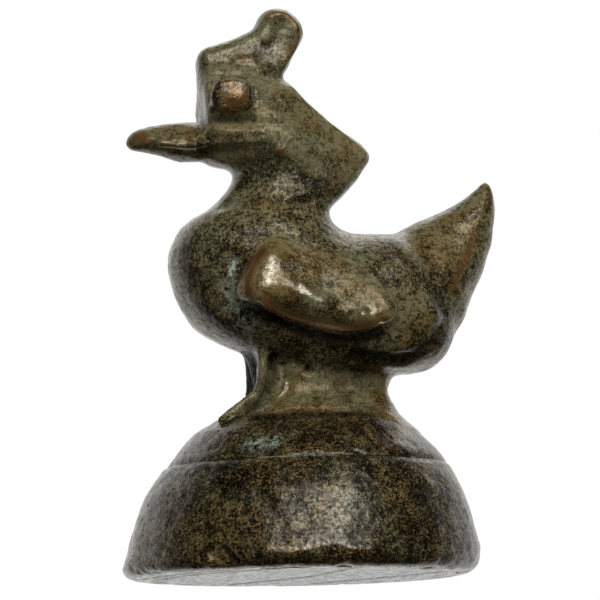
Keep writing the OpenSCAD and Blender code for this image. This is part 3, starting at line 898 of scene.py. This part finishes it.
class Nodes:
    """The nodes of a material or a world, joined as they are made."""

    def __init__(self, owner):
        owner.use_nodes = True
        self.tree = owner.node_tree

    def named(self, name):
        """A node that the tree came with."""
        return self.tree.nodes[name]

    def add(self, kind, inputs=None, **settings):
        """A node with its settings made and its inputs set or joined."""
        made = self.tree.nodes.new(kind)
        for key, value in settings.items():
            setattr(made, key, value)
        self.give(made, inputs or {})
        return made

    def give(self, node, inputs):
        """Sets a node's inputs, or joins them where they are other nodes' outputs."""
        for key, value in inputs.items():
            if isinstance(value, bpy.types.NodeSocket):
                self.tree.links.new(value, node.inputs[key])
            else:
                node.inputs[key].default_value = value

    def maths(self, operation, a, b=0.0):
        return self.add("ShaderNodeMath", {0: a, 1: b}, operation=operation).outputs["Value"]

    def times(self, a, b):
        return self.maths("MULTIPLY", a, b)

    def plus(self, a, b):
        return self.maths("ADD", a, b)

    def minus(self, a, b):
        return self.maths("SUBTRACT", a, b)

    def larger(self, a, b):
        return self.maths("MAXIMUM", a, b)

    def summed(self, values, shares):
        """The sum of some of the values, each times its share."""
        total = 0.0
        for key, share in shares.items():
            total = self.plus(self.times(values[key], share), total)
        return total

    def spread(self, value, key):
        """A value stretched from one range to another, and held within it."""
        ends = zip(("From Min", "From Max", "To Min", "To Max"), RANGES[key])
        inputs = {"Value": value, **dict(ends)}
        return self.add("ShaderNodeMapRange", inputs, interpolation_type="SMOOTHSTEP").outputs["Result"]

    def upright(self, vector):
        """The Z of a place or a direction."""
        return self.add("ShaderNodeSeparateXYZ", {0: vector}).outputs["Z"]

    def noise(self, place, size, detail, roughness):
        """Noise whose grains are about a given size."""
        inputs = {"Vector": place, "Scale": 1 / (size * MM), "Detail": detail, "Roughness": roughness}
        return self.add("ShaderNodeTexNoise", inputs).outputs["Fac"]

    def streaks(self, place, turn, size, length):
        """Noise drawn out along one direction, as scratches are."""
        inputs = {"Vector": place, "Rotation": turn, "Scale": (1, 1 / length, 1)}
        drawn = self.add("ShaderNodeMapping", inputs).outputs["Vector"]
        return self.noise(drawn, size, SCRATCH_DETAIL, SCRATCH_ROUGHNESS)

    def painted(self, key):
        return self.add("ShaderNodeAttribute", attribute_name=key).outputs["Fac"]

    def mixed(self, share, a, b):
        """Colour a changing to colour b by a share from 0 to 1."""
        inputs = {MIX_SHARE: share, MIX_A: a, MIX_B: b}
        return self.add("ShaderNodeMix", inputs, data_type="RGBA").outputs[MIX_RESULT]

    def mixed_shader(self, share, a, b):
        return self.add("ShaderNodeMixShader", {0: share, 1: a.outputs[0], 2: b.outputs[0]})

    def ramp(self, value, stops):
        """Colours that follow a value from stop to stop."""
        made = self.add("ShaderNodeValToRGB", {"Fac": value})
        elements = made.color_ramp.elements
        elements[0].position, elements[1].position = stops[0][0], stops[-1][0]
        for place, _ in stops[1:-1]:
            elements.new(place)
        for element, (_, colour) in zip(elements, stops):
            element.color = (*colour, 1)
        return made.outputs["Color"]


def speckled(nodes, felt, noises):
    """Light and dark specks, with less contrast where the surface is smooth."""
    speck = nodes.minus(nodes.summed(noises, SPECK_SHARES), NOISE_MIDDLE)
    speck = nodes.plus(nodes.times(speck, nodes.spread(felt["grain"], "contrast")), NOISE_MIDDLE)
    drift = nodes.spread(noises["drift"], "drift_level")
    patch = nodes.spread(noises["patch"], "patch_level")
    # The pale value lightens the specks: each piece's own tone, dust with painted top light, and painted
    # light
    for shift in (felt["pale"], drift, patch):
        speck = nodes.plus(speck, shift)
    return speck


def patina_shares(nodes, place, felt, noises, speck):
    """How much there is at each point of what both the colour and the gloss show."""
    off_line = nodes.maths("ABSOLUTE", nodes.minus(nodes.upright(place), LINE_Z * MM))
    return {
        "pits": nodes.times(nodes.spread(noises["pits"], "pits"), felt["grain"]),
        "rub": nodes.times(felt["wear"], nodes.spread(speck, "rub_speck")),
        "crust": nodes.times(felt["green"], nodes.spread(noises["crust"], "crust")),
        "line": nodes.spread(off_line, "line"),
        "stain": nodes.spread(nodes.times(noises["mottle"], noises["scratch"]), "stain"),
    }


def patina_colour(nodes, felt, noises, speck, shares):
    """Brown to olive, with one layer after another laid over it."""
    olive = felt["olive"]
    for key in ("patch", "drift"):
        olive = nodes.plus(olive, nodes.spread(noises[key], key + "_hue"))
    colour = nodes.mixed(olive, nodes.ramp(speck, BROWNS), nodes.ramp(speck, OLIVES))
    moss = nodes.times(nodes.spread(noises["moss"], "moss"), nodes.spread(noises["drift"], "moss_drift"))
    fleck = nodes.times(nodes.spread(noises["fleck"], "fleck"), felt["grain"])
    fleck = nodes.times(fleck, nodes.spread(noises["mottle"], "fleck_mottle"))
    deposit = nodes.mixed(nodes.spread(felt["deposit"], "deposit"), DARK_DIRT_AND_SHADE, PALE_LINE)
    bare = nodes.mixed(shares["stain"], BARE_AND_REFLECTION, BARE_STAINED)
    layers = [
        (moss, MOSS),
        (shares["pits"], DARK_DIRT_AND_SHADE),
        (fleck, FLECK),
        (nodes.spread(noises["scratch"], "scratch"), SCRATCHED),
        # Painted shade with some dirt: darker in hollows and creases, under the bill, eye and wing, in the
        # folds and between the legs
        (nodes.times(felt["shade_and_dirt"], HOLLOW_SHADE_AND_DIRT), DARK_DIRT_AND_SHADE),
        (nodes.spread(shares["rub"], "rubbed"), RUBBED),
        (nodes.spread(shares["rub"], "bright"), BRIGHT),
        (shares["crust"], VERDIGRIS),
        (nodes.times(shares["line"], nodes.spread(speck, "line_speck")), deposit),
        # Painted reflection: the worn bare foot painted pale as if it reflected the white ground
        (nodes.times(felt["under"], UNDER_BARE_AND_REFLECTION), bare),
    ]
    for share, tone in layers:
        colour = nodes.mixed(share, colour, tone)
    return colour


def patina_gloss(nodes, felt, noises, shares):
    """Roughness, metal and gloss: more metal where rubbed, and dull in hollows, pits and crust."""
    gleam = nodes.summed(noises, GLEAM_SHARES)
    rough = nodes.spread(gleam, "roughness")
    rougher = [
        nodes.times(nodes.larger(shares["crust"], felt["shade_and_dirt"]), HOLLOW_ROUGHNESS),
        nodes.spread(felt["gloss"], "shine_roughness"),
        nodes.times(nodes.times(felt["under"], shares["stain"]), STAIN_ROUGHNESS),
    ]
    for more in rougher:
        rough = nodes.plus(rough, more)
    covered = nodes.larger(nodes.larger(shares["crust"], felt["under"]), felt["shade_and_dirt"])
    metal = nodes.minus(nodes.spread(shares["rub"], "metal"), covered)
    level = nodes.times(nodes.spread(gleam, "gloss"), felt["gloss"])
    level = nodes.times(level, nodes.spread(felt["shade_and_dirt"], "hollow_gloss"))
    level = nodes.times(level, nodes.spread(shares["pits"], "pit_gloss"))
    return {"Roughness": rough, "Metallic": metal, "Specular IOR Level": level}


def patina_relief(nodes, felt, noises, shares):
    """The finest unevenness, too small for the mesh."""
    heights = {**noises, "cut": nodes.spread(noises["scratch"], "scratch_cut"), "line": shares["line"]}
    inputs = {
        "Height": nodes.summed(heights, RELIEF_SHARES),
        "Strength": nodes.spread(felt["grain"], "bump"),
        "Distance": BUMP_DISTANCE,
    }
    return nodes.add("ShaderNodeBump", inputs).outputs["Normal"]


def patina(keys):
    """Dark bronze: mottled brown and olive, dusty grain, rubbed brass on what stands out, green in places."""
    material = bpy.data.materials.new("bronze_patina")
    nodes = Nodes(material)
    place = nodes.add("ShaderNodeTexCoord").outputs["Object"]
    felt = {key: nodes.painted(key) for key in keys}
    noises = {key: nodes.noise(place, *grain) for key, grain in NOISES.items()}
    noises["scratch"] = nodes.larger(*[nodes.streaks(place, *scratch) for scratch in SCRATCHES])
    speck = speckled(nodes, felt, noises)
    shares = patina_shares(nodes, place, felt, noises, speck)
    sockets = {
        "IOR": PATINA_IOR,
        "Specular Tint": SHEEN,
        "Base Color": patina_colour(nodes, felt, noises, speck, shares),
        "Normal": patina_relief(nodes, felt, noises, shares),
        **patina_gloss(nodes, felt, noises, shares),
    }
    nodes.give(nodes.named("Principled BSDF"), sockets)
    return material


def direction(azimuth, elevation):
    """The way to something seen from the object: azimuth 0 is in front, 90 to the right."""
    a, e = math.radians(azimuth), math.radians(elevation)
    return Vector((math.sin(a) * math.cos(e), -math.cos(a) * math.cos(e), math.sin(e)))


def add_camera():
    """A camera at the photograph's angle, with the photograph's frame."""
    camera = bpy.data.objects.new("camera", bpy.data.cameras.new("camera"))
    bpy.context.scene.collection.objects.link(camera)
    bpy.context.scene.camera = camera
    back = direction(CAMERA_AZIMUTH, CAMERA_ELEVATION)
    right = direction(CAMERA_AZIMUTH + 90, 0)
    up = back.cross(right)
    turn = math.radians(CAMERA_ROLL)
    side = right * math.cos(turn) - up * math.sin(turn)
    top = right * math.sin(turn) + up * math.cos(turn)
    place = Matrix((side, top, back)).transposed().to_4x4()
    place.translation = Vector(CAMERA_AIM) + back * CAMERA_DISTANCE
    camera.matrix_world = place
    lens = camera.data
    lens.sensor_width = SENSOR_WIDTH
    lens.lens = PIXELS_PER_MM / MM * CAMERA_DISTANCE / PIXELS * SENSOR_WIDTH
    lens.shift_x = (PIXELS / 2 - AIM_PIXEL[0]) / PIXELS
    lens.shift_y = (AIM_PIXEL[1] - PIXELS / 2) / PIXELS


def floor_material():
    """Pale to the camera and a soft glow to the object, but not there in reflections or from below."""
    material = bpy.data.materials.new("floor")
    nodes = Nodes(material)
    shader = nodes.named("Principled BSDF")
    nodes.give(shader, {"Base Color": FLOOR_COLOUR, "Roughness": FLOOR_ROUGHNESS})
    glow = nodes.add("ShaderNodeEmission", {"Strength": FLOOR_GLOW})
    clear = nodes.add("ShaderNodeBsdfTransparent")
    path = nodes.add("ShaderNodeLightPath").outputs
    face = nodes.add("ShaderNodeNewGeometry").outputs
    upper = nodes.mixed_shader(path["Is Camera Ray"], glow, shader)
    upper = nodes.mixed_shader(path["Is Glossy Ray"], upper, clear)
    both = nodes.mixed_shader(face["Backfacing"], upper, clear)
    nodes.give(nodes.named("Material Output"), {"Surface": both.outputs[0]})
    return material


def add_floor():
    """A pale floor, open under the foot and seen only from above, because the camera is below it."""
    angles = np.linspace(0, 2 * math.pi, FLOOR_SIDES, endpoint=False)
    points = [
        (radius * math.cos(angle), radius * math.sin(angle), -FLOOR_DROP)
        for radius in (FLOOR_HOLE, FLOOR_RADIUS)
        for angle in angles
    ]
    n = FLOOR_SIDES
    faces = [(k, n + k, n + (k + 1) % n, (k + 1) % n) for k in range(n)]
    floor = new_object("floor", points, faces)
    floor.data.materials.append(floor_material())


def add_softbox(name, turn, elevation, distance, width, height, watts):
    lamp = bpy.data.lights.new(name, "AREA")
    lamp.shape = "RECTANGLE"
    lamp.size = width
    lamp.size_y = height
    lamp.energy = watts
    made = bpy.data.objects.new(name, lamp)
    bpy.context.scene.collection.objects.link(made)
    way = direction(CAMERA_AZIMUTH + turn, elevation)
    made.location = Vector(CAMERA_AIM) + way * distance
    made.rotation_euler = way.to_track_quat("Z", "Y").to_euler()


def add_world():
    """White all round to the camera. For its light, a white backdrop stands behind, a little to the left."""
    world = bpy.data.worlds.new("studio")
    bpy.context.scene.world = world
    nodes = Nodes(world)
    seen = nodes.add("ShaderNodeTexCoord").outputs["Generated"]
    backdrop = {0: seen, 1: direction(BACKDROP_AZIMUTH, 0)}
    behind = nodes.add("ShaderNodeVectorMath", backdrop, operation="DOT_PRODUCT").outputs["Value"]
    height = nodes.maths("ABSOLUTE", nodes.upright(seen))
    level = nodes.spread(nodes.minus(behind, nodes.times(height, BACKDROP_FADE)), "backdrop")
    path = nodes.add("ShaderNodeLightPath").outputs
    level = nodes.times(level, nodes.larger(path["Is Glossy Ray"], FILL))
    level = nodes.larger(level, path["Is Camera Ray"])
    nodes.give(nodes.named("Background"), {"Strength": level, "Color": WHITE})


triangles, owners = cad_triangles()
skin = fused_skin(np.concatenate([triangles, fillet_triangles()]))
label = tidy_labels(skin, nearest_node(skin, triangles, owners))
melt(skin, label)
bend_base(skin, label)
widen_eye(skin, label)
carve(skin)
values = paint(skin, label)
set_foot_back(skin, label)
make_pieces(skin, label, values, patina(values))

add_camera()
add_floor()
for name, softbox in SOFTBOXES.items():
    add_softbox(name, *softbox)
add_world()
bpy.context.scene.view_settings.view_transform = "Standard"
